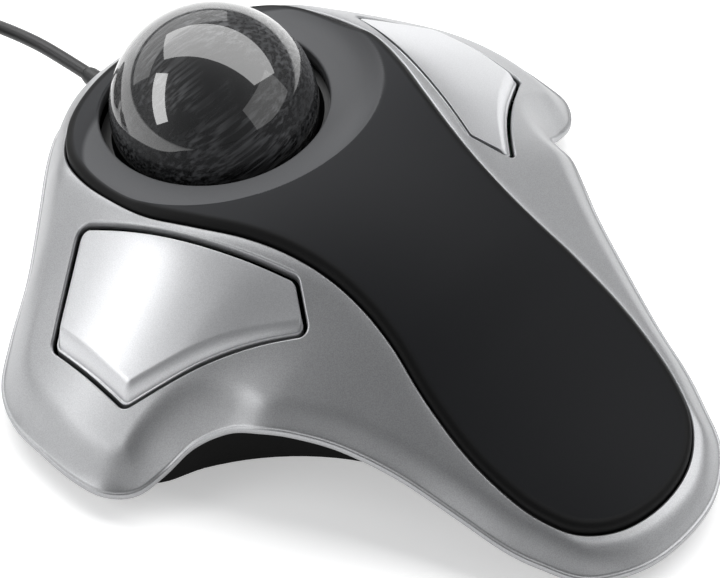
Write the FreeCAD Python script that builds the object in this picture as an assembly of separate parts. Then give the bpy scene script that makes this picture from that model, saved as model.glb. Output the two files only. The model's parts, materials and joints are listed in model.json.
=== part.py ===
import FreeCAD, Part
import math
import os
from FreeCAD import Placement, Rotation, Vector

# Trackball mouse, in millimetres. +Z is up, +Y points from the palm rest to the ball and the cord,
# and the origin is under the middle of the body, on the surface it stands on.

# ---------------------------------------------------------------- driving dimensions
BALL_RADIUS = 20.0
BALL_CENTRE = Vector(0, 40, 31)

SHELL_WALL = 2.4              # vertical thickness of the silver skin
PANEL_PROUD = 1.4             # how far the dark panel stands above the skin
PANEL_DEPTH = 2.2             # how far it reaches below the skin
PLATE_WALL = 1.8              # plate of the skin that lies under the panel
PANEL_GAP = 0.25
BUTTON_GAP = 0.6
BUTTON_RISE = 1.2             # height of the finger face above the skin
BUTTON_DEPTH = 2.2

OPENING_RADIUS = 22.0         # hole in the panel around the ball
OPENING_Z = 32.3              # height of its edge abreast of the ball's centre
OPENING_TILT = -0.12          # rise of that edge per millimetre towards the cord
DISH_WALL = 1.8

FOOT_HEIGHT = 1.2             # the base stands this high on its rubber feet
BASE_FLOOR = 2.0
BASE_WALL = 1.8

CUP_INNER = 20.9
CUP_OUTER = 23.0
BEARING_RADIUS = 1.5
BEARING_GAP = 0.05
BEAD_RADIUS = 3.0
BEAD_GAP = 0.1

BOARD_Z = 5.2
BOARD_WALL = 1.6

CORD_RADIUS = 1.4
CORD_LENGTH = 1800.0

# Half outlines from the cord end to the palm end: x, y, height of the skin's edge, width over which
# the skin rounds off towards that edge.
SKIN_EDGE = [
    (0, 76.5, 6, 11), (9.3, 75.4, 6, 11), (17, 70.9, 6, 10), (28.8, 60.9, 6, 9), (40.5, 51.2, 6, 8),
    (52.4, 42.9, 6, 7), (60.5, 36.4, 5.5, 6), (64.4, 29, 5.5, 6), (65.4, 20, 6, 6), (65.4, 12, 6, 6),
    (64.2, 5.5, 6.5, 6), (60.5, 1.3, 7, 6), (54.9, -0.3, 9, 7), (49.4, -2.6, 14, 7), (45, -7.5, 19, 6),
    (42.3, -13, 21.6, 4), (39, -18.5, 22, 4), (34.9, -26, 20.8, 4), (31, -36, 17.8, 4),
    (27.7, -47, 13, 4), (25.4, -56, 9.6, 4), (22.8, -62.3, 7.6, 4), (18.6, -69.6, 6, 4),
    (10, -75, 6, 4), (0, -76.5, 6, 4)]
PANEL_EDGE = [
    (0, 66), (10, 64.7), (19.5, 60.3), (26.5, 53), (29.8, 45), (30.9, 36), (30.4, 26.5), (27.3, 17),
    (23.9, 8.6), (21.1, 0.3), (19.3, -8), (18.8, -16), (19.4, -23.6), (20.9, -31.7), (21.8, -41.7),
    (21.3, -50.2), (19.6, -58), (15.9, -64.9), (9, -69.6), (0, -71.2)]
BASE_EDGE = [
    (0, 72.5), (9, 71.4), (16, 67.2), (27.2, 57.4), (39, 47.8), (50.8, 39.5), (57.8, 33.9),
    (60.6, 28), (61.4, 20), (61.4, 12.5), (60, 7.5), (57.3, 4.6), (52.5, 1), (47, -1.3),
    (40.7, -5.3), (35, -10.1), (30, -15.5), (25.7, -21.6), (22.4, -28.5), (21, -36), (21.2, -46),
    (20, -56), (17.3, -63), (13.5, -68), (7, -71.6), (0, -72.6)]

# Profiles along Y: (y, value).
RIDGE_HEIGHT = [(-92, 2), (-78, 6.5), (-64, 11.6), (-50, 17.4), (-36, 24.6), (-22, 32.7), (-8, 38.1),
                (6, 39.9), (20, 38.1), (34, 34.6), (48, 30.5), (62, 25.2), (76, 19), (90, 13)]
RIDGE_HALF_WIDTH = [(-92, 14), (-78, 15), (-64, 17.5), (-50, 21.3), (-36, 21.6), (-22, 19.3),
                    (-8, 19.3), (6, 23), (20, 28.3), (34, 30.8), (48, 29.5), (62, 26), (76, 21), (90, 18)]
SHOULDER = [(-92, 2), (-12, 2.6), (6, 5.5), (34, 2.5), (90, 2.5)]
SLOPE = [(-92, 0.56), (-30, 0.56), (-14, 0.60), (0, 0.82), (20, 0.88), (90, 0.88)]
CROWN = [(-92, 1.2), (-60, 1.6), (-20, 2.4), (30, 2.4), (90, 2.0)]
DISH_RISE = [(20, 0), (22, 0), (25, 0.2), (28, 1.0), (30, 2.5), (31.5, 4.8), (33, 8.5), (35, 15)]

# Button openings, right side, corners in order: front inner, rear inner, rear end, rear edge,
# outer rear, outer front; and how far each edge of the finger face lies inside the button's edge.
BUTTON_CORNERS = [(36.2, 38.7), (22.5, -3.8), (27.6, -11.3), (37.6, -1.2), (54.5, 9.4), (54.0, 29.0)]
BUTTON_CORNER_RADII = [2.0, 2.0, 1.6, 12.0, 2.5, 2.5]
FACE_INSETS = [0.3, 0.3, 2.2, 2.6, 3.2, 0.3]

# Button hinge: the rod's axis passes through two points under the skin.
HINGE_FRONT = Vector(27.4, 27.6, 30.3)
HINGE_REAR = Vector(21.1, 8.4, 33.3)
HINGE_ROD_RADIUS = 1.0
HINGE_GAP = 0.05
SWITCH_AT = (45.0, 17.0)
SWITCH_SIZE = (12.8, 5.8, 6.5)
PLUNGER_SIZE = (2.9, 1.4)
PLUNGER_STANDS = 0.8


# ---------------------------------------------------------------- curves and surfaces
def smooth(table, v):
    """Value at v of a smooth curve through a table of (place, value) pairs."""
    last = len(table) - 2
    i = 0
    while i < last and v > table[i + 1][0]:
        i += 1

    def gradient(k):
        a, b = max(k - 1, 0), min(k + 1, len(table) - 1)
        return (table[b][1] - table[a][1]) / (table[b][0] - table[a][0])

    (x0, y0), (x1, y1) = table[i], table[i + 1]
    width = x1 - x0
    t = (v - x0) / width
    h = t * t * (3 - 2 * t)
    return (y0 * (1 - h) + y1 * h + gradient(i) * width * t * (1 - t) ** 2
            - gradient(i + 1) * width * t * t * (1 - t))


def closed_curve(half, steps):
    """Points of a closed smooth curve through a half outline and its mirror image."""
    mirrored = [(-p[0],) + tuple(p[1:]) for p in reversed(half[1:-1])]
    ring = [tuple(p) for p in half] + mirrored
    count = len(ring)
    points = []
    for i in range(count):
        a, b, c, d = (ring[(i + k) % count] for k in (-1, 0, 1, 2))
        for s in range(steps):
            t = s / steps
            points.append(tuple(
                q + 0.5 * t * ((r - p) + t * ((2 * p - 5 * q + 4 * r - w) + t * (3 * q - p - 3 * r + w)))
                for p, q, r, w in zip(a, b, c, d)))
    return points


SKIN_RING = closed_curve(SKIN_EDGE, 8)


def inside(ring, x, y):
    """True if a point lies inside a closed ring of points."""
    odd = False
    for p, q in zip(ring, ring[1:] + ring[:1]):
        if (p[1] > y) != (q[1] > y) and x < p[0] + (y - p[1]) * (q[0] - p[0]) / (q[1] - p[1]):
            odd = not odd
    return odd


def nearest_edge(x, y):
    """Distance in from the skin's edge, and the height and rounding width there."""
    best = None
    for p, q in zip(SKIN_RING, SKIN_RING[1:] + SKIN_RING[:1]):
        ex, ey = q[0] - p[0], q[1] - p[1]
        t = ((x - p[0]) * ex + (y - p[1]) * ey) / (ex * ex + ey * ey)
        t = min(max(t, 0), 1)
        away = math.hypot(x - p[0] - t * ex, y - p[1] - t * ey)
        if best is None or away < best[0]:
            best = (away, p[2] + t * (q[2] - p[2]), p[3] + t * (q[3] - p[3]))
    away, height, width = best
    return (away if inside(SKIN_RING, x, y) else -away), height, width


def crown_height(x, y):
    """Height of the skin before its edge is rounded: a crowned ridge with sloping flanks."""
    ridge, half = smooth(RIDGE_HEIGHT, y), smooth(RIDGE_HALF_WIDTH, y)
    shoulder, slope, crown = smooth(SHOULDER, y), smooth(SLOPE, y), smooth(CROWN, y)
    out = max(abs(x) - half, 0)
    flank = slope * (math.hypot(out, shoulder) - shoulder) + 2 * crown / half * out * math.exp(-out / 6)
    return ridge + crown * (1 - min(abs(x) / half, 1) ** 2) - flank


def skin_height(x, y):
    """Height of the silver skin's upper face."""
    away, edge, width = nearest_edge(x, y)
    u = 1 - max(away, -4.0) / width
    top = max(crown_height(x, y), edge + 2)
    if u <= 0:
        return top
    if u <= 1:
        return edge + (top - edge) * (1 - u ** 2.5)
    return edge - (top - edge) * 2.5 * (u - 1)


def skin_face():
    """The skin's upper face as one smooth surface over the whole body."""
    xs = [-70 + 2.5 * i for i in range(57)]
    ys = [-81 + 2.5 * j for j in range(66)]
    grid = [[Vector(x, y, skin_height(x, y)) for y in ys] for x in xs]
    surface = Part.BSplineSurface()
    surface.interpolate(grid)
    return surface.toShape()


def wire_through(points):
    """A closed flat wire through points, as one smooth curve."""
    curve = Part.BSplineCurve()
    curve.interpolate([Vector(p[0], p[1], 0) for p in points], PeriodicFlag=True)
    return Part.Wire(curve.toShape())


def prism(wire, low, high):
    """Solid of a flat closed wire between two heights."""
    face = Part.Face(wire)
    solid = face.extrude(Vector(0, 0, high - low))
    solid.translate(Vector(0, 0, low))
    return solid


def grown(half, by):
    """A closed smooth wire that runs outside a half outline's curve by an amount."""
    ring = closed_curve([p[:2] for p in half], 2)
    count = len(ring)
    points = []
    for i in range(count):
        (x0, y0), (x1, y1) = ring[i - 1], ring[(i + 1) % count]
        length = math.hypot(x1 - x0, y1 - y0)
        points.append((ring[i][0] - by * (y1 - y0) / length, ring[i][1] + by * (x1 - x0) / length))
    return wire_through(points)


def rounded_polygon(corners, radii):
    """A closed wire of straight edges with an arc at each corner."""
    edges = []
    count = len(corners)
    stops = []
    for i in range(count):
        p, q, r = (Vector(*corners[(i + k) % count], 0) for k in (-1, 0, 1))
        a, b = (p - q).normalize(), (r - q).normalize()
        half = a.getAngle(b) / 2
        back = radii[i] / math.tan(half)
        middle = (a + b).normalize()
        centre = q + middle * (radii[i] / math.sin(half))
        stops.append((q + a * back, centre - middle * radii[i], q + b * back))
    for i in range(count):
        start, mid, end = stops[i]
        edges.append(Part.Arc(start, mid, end).toShape())
        edges.append(Part.LineSegment(end, stops[(i + 1) % count][0]).toShape())
    return Part.Wire(edges)


def inset_polygon(corners, insets):
    """Corners of a polygon whose edges have moved inwards, each by its own amount."""
    count = len(corners)
    area = sum(corners[i][0] * corners[(i + 1) % count][1] - corners[(i + 1) % count][0] * corners[i][1]
               for i in range(count))
    side = 1 if area > 0 else -1
    lines = []
    for i in range(count):
        (x0, y0), (x1, y1) = corners[i], corners[(i + 1) % count]
        length = math.hypot(x1 - x0, y1 - y0)
        nx, ny = -side * (y1 - y0) / length, side * (x1 - x0) / length
        lines.append((nx, ny, nx * x0 + ny * y0 + insets[i]))
    result = []
    for i in range(count):
        a, b = lines[i - 1], lines[i]
        det = a[0] * b[1] - a[1] * b[0]
        result.append(((a[2] * b[1] - a[1] * b[2]) / det, (a[0] * b[2] - a[2] * b[0]) / det))
    return result


def cylinder(radius, height, base, axis=Vector(0, 0, 1)):
    return Part.makeCylinder(radius, height, base, axis)


def box(size, centre, turn=0):
    """A box centred in plan on a point, standing on the point's height, turned about Z."""
    solid = Part.makeBox(*size)
    solid.translate(Vector(-size[0] / 2, -size[1] / 2, 0))
    solid.rotate(Vector(0, 0, 0), Vector(0, 0, 1), turn)
    solid.translate(Vector(*centre))
    return solid


def mirrored(shape):
    return shape.mirror(Vector(0, 0, 0), Vector(1, 0, 0))


def save(shape, name):
    if len(shape.Solids) == 1:
        shape = shape.Solids[0]
    if not shape.isValid() or not shape.Solids:
        print("CHECK", name, "valid", shape.isValid(), "solids", len(shape.Solids))
    shape.exportStep("parts/%s.step" % name)
    b = shape.BoundBox
    print("%-22s %9.1f mm3  x %.1f %.1f  y %.1f %.1f  z %.1f %.1f" % (
        name, shape.Volume, b.XMin, b.XMax, b.YMin, b.YMax, b.ZMin, b.ZMax))


os.makedirs("parts", exist_ok=True)
SKIN = skin_face()


def below(offset):
    """Everything under the skin's upper face moved up by an offset."""
    solid = SKIN.extrude(Vector(0, 0, -120))
    solid.translate(Vector(0, 0, offset))
    return solid


def band(low, high):
    """Everything between the skin's upper face moved by two offsets."""
    solid = SKIN.extrude(Vector(0, 0, low - high))
    solid.translate(Vector(0, 0, high))
    return solid


def layer(wire, low, high):
    """The part of an upright prism between the skin's face moved by two offsets."""
    return prism(wire, -20, 60).common(band(low, high))


skin_wire = grown(SKIN_EDGE, 0)
panel_wire = grown(PANEL_EDGE, 0)
base_wire = grown(BASE_EDGE, 0)


# ---------------------------------------------------------------- ball, cup and bearings
def dish_solid(lower):
    """The hollow of the dish around the ball, from its face moved down by an amount, upwards."""
    points = [Vector(0, 0, -lower)]
    points += [Vector(r, 0, h - lower) for r, h in DISH_RISE[1:]]
    rim = points[1:]
    curve = Part.BSplineCurve()
    curve.interpolate(rim)
    top = Vector(0, 0, 30)
    corner = Vector(rim[-1].x, 0, 30)
    wire = Part.Wire([Part.LineSegment(points[0], rim[0]).toShape(), curve.toShape(),
                      Part.LineSegment(rim[-1], corner).toShape(),
                      Part.LineSegment(corner, top).toShape(), Part.LineSegment(top, points[0]).toShape()])
    solid = Part.Face(wire).revolve(Vector(0, 0, 0), Vector(0, 0, 1), 360)
    solid.rotate(Vector(0, 0, 0), Vector(1, 0, 0), math.degrees(math.atan(OPENING_TILT)))
    solid.translate(Vector(0, BALL_CENTRE.y, OPENING_Z))
    return solid


def around_ball(azimuth, elevation, distance):
    a, e = math.radians(azimuth), math.radians(elevation)
    return BALL_CENTRE + Vector(math.cos(a) * math.cos(e), math.sin(a) * math.cos(e), math.sin(e)) * distance


BEARING_AZIMUTHS = (90, 210, 330)
BEARING_ELEVATION = -45
SENSOR_ELEVATION = -40
CUP_POSTS = [(17.0, 51.5), (-17.0, 51.5), (19.3, 33.0), (-19.3, 33.0)]
CUP_TOP_Z = 27.5
CUP_TOP_TILT = -0.196


def make_ball():
    ball = Part.makeSphere(BALL_RADIUS, BALL_CENTRE)
    return ball.cut(Part.makeSphere(BEAD_RADIUS + BEAD_GAP, BALL_CENTRE))


def make_cup():
    bowl = Part.makeSphere(CUP_OUTER, BALL_CENTRE)
    for azimuth in BEARING_AZIMUTHS:
        inner = around_ball(azimuth, BEARING_ELEVATION, CUP_INNER)
        bowl = bowl.fuse(cylinder(2.7, 3.6, inner, inner - BALL_CENTRE))
    floor = FOOT_HEIGHT + BASE_FLOOR
    for x, y in CUP_POSTS:
        bowl = bowl.fuse(cylinder(2.6, 18 - floor, Vector(x, y, floor)))
    bowl = bowl.cut(Part.makeSphere(CUP_INNER, BALL_CENTRE))
    slab = Part.makeBox(120, 120, 60, Vector(-60, -60, 0))
    slab.rotate(Vector(0, 0, 0), Vector(1, 0, 0), math.degrees(math.atan(CUP_TOP_TILT)))
    slab.translate(Vector(0, BALL_CENTRE.y, CUP_TOP_Z))
    bowl = bowl.cut(slab)
    for azimuth in BEARING_AZIMUTHS:
        seat = around_ball(azimuth, BEARING_ELEVATION, BALL_RADIUS + BEARING_RADIUS + BEARING_GAP)
        bowl = bowl.cut(Part.makeSphere(BEARING_RADIUS + 0.02, seat))
    window = around_ball(270, SENSOR_ELEVATION, 18)
    bowl = bowl.cut(cylinder(4.0, 8, window, window - BALL_CENTRE))
    for x, y in CUP_POSTS:
        bowl = bowl.cut(cylinder(0.95, 9, Vector(x, y, floor)))
    return bowl


def make_bearings():
    return [Part.makeSphere(BEARING_RADIUS, around_ball(a, BEARING_ELEVATION,
                                                        BALL_RADIUS + BEARING_RADIUS + BEARING_GAP))
            for a in BEARING_AZIMUTHS]


# ---------------------------------------------------------------- skin, panel, buttons
def button_wires():
    """Opening, button and finger-face wires of the right button."""
    opening = rounded_polygon(BUTTON_CORNERS, BUTTON_CORNER_RADII)
    button = inset_polygon(BUTTON_CORNERS, [BUTTON_GAP] * 6)
    face = inset_polygon(button, FACE_INSETS)
    return (opening, rounded_polygon(button, [r * 0.8 for r in BUTTON_CORNER_RADII]),
            rounded_polygon(face, [1.2, 1.2, 0.8, 12, 1.5, 1.5]))


opening_wire, button_wire, face_wire = button_wires()
hinge_axis = (HINGE_FRONT - HINGE_REAR).normalize()
hinge_turn = math.degrees(math.atan2(-hinge_axis.x, hinge_axis.y))
outward = Vector(hinge_axis.y, -hinge_axis.x, 0).normalize()
SCREW_POSTS = [(45.0, 38.6), (24.5, -15.5)]
TAIL_POST_Y = -52.0


def plan_block(centre, along, across):
    """A tall block in plan, its sides along and across the hinge axis."""
    solid = Part.makeBox(across, along, 80, Vector(-across / 2, -along / 2, -20))
    solid.rotate(Vector(0, 0, 0), Vector(0, 0, 1), hinge_turn)
    solid.translate(Vector(centre.x, centre.y, 0))
    return solid


def lug_places():
    return (HINGE_REAR + hinge_axis * 1.5, HINGE_FRONT - hinge_axis * 1.5)


def make_button():
    """Right button: sprung cap with two arms that reach under the skin to the hinge rod."""
    cap = layer(button_wire, -BUTTON_DEPTH, 0).fuse(layer(face_wire, -BUTTON_DEPTH, BUTTON_RISE))
    reach = 11.0
    for place in lug_places():
        arm = plan_block(place + outward * (reach / 2), 4, reach).common(band(-8.0, -5.3))
        riser = plan_block(place + outward * (reach - 1.5), 4, 3).common(band(-8.0, -0.5))
        eye = cylinder(2.2, 4, place - hinge_axis * 2, hinge_axis)
        cap = cap.fuse(arm).fuse(riser).fuse(eye)
        cap = cap.cut(cylinder(HINGE_ROD_RADIUS + HINGE_GAP, 8, place - hinge_axis * 4, hinge_axis))
    x, y = SWITCH_AT
    tip = BOARD_Z + BOARD_WALL + SWITCH_SIZE[2] + PLUNGER_STANDS + 0.1
    post = cylinder(1.6, 14, Vector(x, y, tip)).common(below(-0.5))
    return cap.fuse(post).removeSplitter()


def make_hinge_rod():
    length = 27.0
    middle = (HINGE_FRONT + HINGE_REAR) * 0.5
    return cylinder(HINGE_ROD_RADIUS, length, middle - hinge_axis * (length / 2), hinge_axis)


def make_shell():
    """Silver skin with the plate under the panel, hinge blocks and screw posts."""
    shell = layer(skin_wire, -SHELL_WALL, 0)
    shell = shell.cut(prism(panel_wire, -20, 60))
    plate_high = -PANEL_DEPTH - 0.1
    plate = layer(grown(PANEL_EDGE, 1.6), plate_high - PLATE_WALL, plate_high)
    shell = shell.fuse(plate)
    blocks = []
    for place, side in zip(lug_places(), (1, -1)):
        at = place + hinge_axis * (4.3 * side)
        block = plan_block(at, 3.4, 5).common(band(-9.0, plate_high - 1))
        blocks.append(block)
    for x, y in SCREW_POSTS:
        post = cylinder(3.0, 60, Vector(x, y, 8.0)).common(below(-1.0))
        blocks.append(post)
    for block in blocks:
        shell = shell.fuse(block).fuse(mirrored(block))
    tail_post = cylinder(3.0, 20, Vector(0, TAIL_POST_Y, 8.0)).common(below(plate_high - 1))
    shell = shell.fuse(tail_post)
    shell = shell.cut(dish_solid(DISH_WALL + 0.2))
    shell = shell.cut(cylinder(CUP_OUTER + 0.6, 60, Vector(BALL_CENTRE.x, BALL_CENTRE.y, 0)))
    tunnels = [prism(opening_wire, -20, 60)]
    tunnels.append(cylinder(HINGE_ROD_RADIUS, 40, HINGE_REAR - hinge_axis * 10, hinge_axis))
    for x, y in SCREW_POSTS:
        tunnels.append(cylinder(1.1, 8, Vector(x, y, 7.9)))
    for tunnel in tunnels:
        shell = shell.cut(tunnel).cut(mirrored(tunnel))
    shell = shell.cut(cylinder(1.1, 7, Vector(0, TAIL_POST_Y, 7.9)))
    shell = shell.cut(cylinder(RELIEF_NECK + 0.4, 20, Vector(0, 66, CORD_EXIT_Z), Vector(0, 1, 0)))
    return shell


def make_panel():
    """Soft dark panel with the dish around the ball."""
    wire = grown(PANEL_EDGE, -PANEL_GAP)
    panel = layer(wire, -PANEL_DEPTH, PANEL_PROUD)
    panel = panel.cut(dish_solid(0))
    lining = dish_solid(DISH_WALL).cut(dish_solid(0))
    lining = lining.common(prism(wire, -20, 60)).common(below(PANEL_PROUD))
    panel = panel.fuse(lining)
    return panel.cut(cylinder(OPENING_RADIUS, 60, Vector(BALL_CENTRE.x, BALL_CENTRE.y, 0)))


# ---------------------------------------------------------------- base and its fasteners
CORD_EXIT_Z = 13.0
RELIEF_NECK = 2.9
FEET = [(48.0, 20.0, 5.0), (-48.0, 20.0, 5.0), (0.0, 62.0, 5.0), (0.0, -62.0, 5.0)]
BOARD_POSTS = [(27.0, 4.0), (-27.0, 4.0), (51.0, 25.5), (-51.0, 25.5)]


def base_screw_places():
    return SCREW_POSTS + [(-x, y) for x, y in SCREW_POSTS] + [(0, TAIL_POST_Y)]


def make_base():
    floor = FOOT_HEIGHT + BASE_FLOOR
    base = prism(base_wire, FOOT_HEIGHT, 60).common(below(-SHELL_WALL - 0.3))
    pocket = prism(grown(BASE_EDGE, -BASE_WALL), floor, 60)
    base = base.cut(pocket)
    plate_low = below(-PANEL_DEPTH - PLATE_WALL - 0.4)
    ring = prism(grown(PANEL_EDGE, 2.2), floor, 60).cut(plate_low)
    base = base.cut(ring)
    for x, y in base_screw_places():
        base = base.fuse(cylinder(3.0, 7.9 - floor, Vector(x, y, floor)))
        base = base.cut(cylinder(3.2, 40, Vector(x, y, 7.9)))
    for x, y in BOARD_POSTS:
        base = base.fuse(cylinder(2.2, BOARD_Z - floor, Vector(x, y, floor)))
    for x, y in base_screw_places():
        base = base.cut(cylinder(1.5, 20, Vector(x, y, 0)))
        base = base.cut(cylinder(2.6, 2.0, Vector(x, y, FOOT_HEIGHT)))
    for x, y in BOARD_POSTS:
        base = base.cut(cylinder(0.8, 1.9, Vector(x, y, BOARD_Z - 1.9)))
    for x, y in CUP_POSTS:
        base = base.cut(cylinder(1.25, 10, Vector(x, y, 0)))
        base = base.cut(cylinder(2.2, 1.2, Vector(x, y, FOOT_HEIGHT)))
    for x, y, radius in FEET:
        base = base.cut(cylinder(radius + 0.2, 0.8, Vector(x, y, FOOT_HEIGHT)))
    base = base.cut(cylinder(RELIEF_NECK + 0.1, 20, Vector(0, 60, CORD_EXIT_Z), Vector(0, 1, 0)))
    return base


def screw(x, y, head_z, head_radius, head_height, radius, length):
    """Cross-head screw pointing up, its head at the bottom."""
    head = cylinder(head_radius, head_height, Vector(x, y, head_z))
    shank = cylinder(radius, length, Vector(x, y, head_z + head_height - 0.1))
    result = head.fuse(shank)
    for turn in (0, 90):
        result = result.cut(box((head_radius * 1.1, 0.5, 0.7), (x, y, head_z - 0.1), turn))
    return result


def board_screw(x, y):
    """The same screw pointing down through the board into its post."""
    top = BOARD_Z + BOARD_WALL
    result = screw(x, y, 0, 1.9, 1.2, 0.8, 3.4)
    result.rotate(Vector(x, y, 0), Vector(1, 0, 0), 180)
    result.translate(Vector(0, 0, top + 1.2))
    return result


def make_foot(x, y, radius):
    return cylinder(radius, FOOT_HEIGHT + 0.8, Vector(x, y, 0))


# ---------------------------------------------------------------- electronics
def make_board():
    corners = [(-33, -6), (33, -6), (49, 6), (55, 11), (55, 28), (33, 33), (-33, 33), (-55, 28),
               (-55, 11), (-49, 6)]
    wire = rounded_polygon(corners, [1.5] * len(corners))
    board = prism(wire, BOARD_Z, BOARD_Z + BOARD_WALL)
    board = board.cut(cylinder(26.5, 20, Vector(BALL_CENTRE.x, BALL_CENTRE.y, 0)))
    for x, y in BOARD_POSTS:
        board = board.cut(cylinder(1.2, 10, Vector(x, y, 0)))
    return board


def make_switch():
    """Right microswitch body with the slot of its plunger."""
    x, y = SWITCH_AT
    low = BOARD_Z + BOARD_WALL
    body = box((SWITCH_SIZE[1], SWITCH_SIZE[0], SWITCH_SIZE[2]), (x, y, low))
    slot = box((PLUNGER_SIZE[0] + 0.1, PLUNGER_SIZE[1] + 0.1, 3), (x, y, low + SWITCH_SIZE[2] - 1.8))
    return body.cut(slot)


def make_plunger():
    x, y = SWITCH_AT
    top = BOARD_Z + BOARD_WALL + SWITCH_SIZE[2]
    return box((PLUNGER_SIZE[0], PLUNGER_SIZE[1], 0.9 + PLUNGER_STANDS), (x, y, top - 0.9))


def sensor_frame(distance):
    """Placement whose Z axis points from the sensor towards the ball's centre."""
    at = around_ball(270, SENSOR_ELEVATION, distance)
    return Placement(at, Rotation(Vector(0, 0, 1), BALL_CENTRE - at))


def on_sensor(shape, distance):
    shape.Placement = sensor_frame(distance).multiply(shape.Placement)
    return shape


def centred_box(sx, sy, sz, z=0.0):
    return Part.makeBox(sx, sy, sz, Vector(-sx / 2, -sy / 2, z))


def make_sensor_parts():
    """Lens, chip, small board and lamp that watch the ball through the cup's window."""
    dome = Part.makeSphere(3.6, Vector(0, 0, -1.2)).common(centred_box(8, 8, 4, 0.0))
    lens = centred_box(9, 9, 1.4, -1.4).fuse(dome)
    chip = centred_box(9, 7, 2.2, -3.8)
    board = centred_box(13, 12, 1.0, -4.9)
    lamp = centred_box(2.0, 1.2, 1.2, -3.8)
    lamp.translate(Vector(5.6, 0, 0))
    distance = 24.9
    return tuple(on_sensor(s, distance) for s in (lens, chip, board, lamp))


def make_crystal():
    """Metal can of the clock crystal, with round ends."""
    can = box((10.5, 4.2, 3.4), (-11.5, 6.5, BOARD_Z + BOARD_WALL))
    return can.makeFillet(1.9, [e for e in can.Edges if e.BoundBox.ZLength > 3])


def make_electrolytics():
    low = BOARD_Z + BOARD_WALL
    cans = [cylinder(2.5, 7, Vector(x, y, low)) for x, y in ((-21, -1.5), (21, -1.5))]
    return [can.makeFillet(0.4, [e for e in can.Edges if abs(e.BoundBox.ZMin - low - 7) < 0.01])
            for can in cans]


# ---------------------------------------------------------------- cord
CORD_START_Y = 77.5
# Routes by hand. The cord sags from its sleeve to the table and runs into the coil; the tail comes off
# the top of the coil and drops to the plug.
CORD_ROUTE = [(0, 77.5, 13), (0, 89, 13), (-0.3, 104, 8.6), (-0.9, 117, 3.0), (-1.3, 128, 1.5)]
TAIL_ROUTE = [(-27, 152.2, 9.8), (-38, 152.2, 9.0), (-48.5, 148.5, 5.4), (-54.5, 140, 3.7),
              (-54.5, 129, 3.7)]
COIL_CENTRE = (-21.5, 132.0)
COIL_MEAN_RADIUS = 16.0
COIL_HALF = 5.6
PLUG_TURN = -90.0


def tangent_tube(points, radius, name):
    """A round tube along straight runs joined by tangent arcs, as large as the runs allow."""
    points = [Vector(*p) for p in points]
    edges = []
    start = points[0]
    radii = []
    for a, b, c in zip(points, points[1:], points[2:]):
        back, ahead = (a - b), (c - b)
        turn = math.pi - back.getAngle(ahead)
        trim = 0.45 * min(back.Length, ahead.Length)
        bend = trim / math.tan(turn / 2)
        radii.append(bend)
        back.normalize()
        ahead.normalize()
        first, last = b + back * trim, b + ahead * trim
        middle = (back + ahead).normalize()
        centre = b + middle * (bend / math.cos(turn / 2))
        edges.append(Part.LineSegment(start, first).toShape())
        edges.append(Part.Arc(first, centre - middle * bend, last).toShape())
        start = last
    edges.append(Part.LineSegment(start, points[-1]).toShape())
    path = Part.Wire(edges)
    direction = points[1] - points[0]
    circle = Part.Wire(Part.makeCircle(radius, points[0], direction))
    tube = path.makePipeShell([circle], True, False)
    print(name, "length %.1f" % path.Length, "bend radii", ["%.0f" % r for r in radii],
          "volume ratio %.4f" % (tube.Volume / (math.pi * radius ** 2 * path.Length)))
    return tube


def make_relief():
    """Tapered rubber sleeve where the cord leaves the front."""
    y0 = 66.8
    profile = [(0, y0), (4.2, y0), (4.2, y0 + 2.0), (RELIEF_NECK, y0 + 2.0), (RELIEF_NECK, 73.0),
               (1.8, CORD_START_Y), (0, CORD_START_Y)]
    points = [Vector(r, y, CORD_EXIT_Z) for r, y in profile]
    edges = [Part.LineSegment(p, q).toShape() for p, q in zip(points, points[1:] + points[:1])]
    face = Part.Face(Part.Wire(edges))
    return face.revolve(Vector(0, 0, CORD_EXIT_Z), Vector(0, 1, 0), 360)


def make_coil():
    """Outer shape of the coil of spare cord, lying flat."""
    x, y = COIL_CENTRE
    outer, inner = COIL_MEAN_RADIUS + COIL_HALF, COIL_MEAN_RADIUS - COIL_HALF
    ring = cylinder(outer, 2 * COIL_HALF, Vector(x, y, 0)).cut(cylinder(inner, 20, Vector(x, y, -1)))
    return ring.makeFillet(2.5, [e for e in ring.Edges if e.Length > 30])


def make_plug():
    """Plug: moulded grip, metal sleeve and the tongue in it, lying on the table beside the coil."""
    grip = Part.makeBox(22, 13, 7.4, Vector(7, -6.5, 0))
    grip = grip.makeFillet(1.6, grip.Edges)
    neck = Part.makeCone(1.9, 3.2, 8, Vector(0, 0, 3.7), Vector(1, 0, 0))
    grip = grip.fuse(neck)
    sleeve = Part.makeBox(14, 12, 4.5, Vector(29.0, -6, 1.45))
    sleeve = sleeve.cut(Part.makeBox(14, 11.4, 3.9, Vector(29.3, -5.7, 1.75)))
    tongue = Part.makeBox(12.5, 11.0, 1.8, Vector(29.3, -5.5, 3.6))
    tip = Vector(*TAIL_ROUTE[-1])
    parts = []
    for shape in (grip, sleeve, tongue):
        shape.rotate(Vector(0, 0, 0), Vector(0, 0, 1), PLUG_TURN)
        shape.translate(Vector(tip.x, tip.y, 0))
        parts.append(shape)
    return parts


def make_inner_lead():
    route = [(0, 67.5, 13), (1.8, 61.5, 10), (7, 54, 5.8), (11, 44, 5.0), (11.5, 32, 5.0),
             (12.8, 22, 7.6), (14.5, 14.5, 10.4)]
    return tangent_tube(route, CORD_RADIUS, "inner lead")


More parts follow.
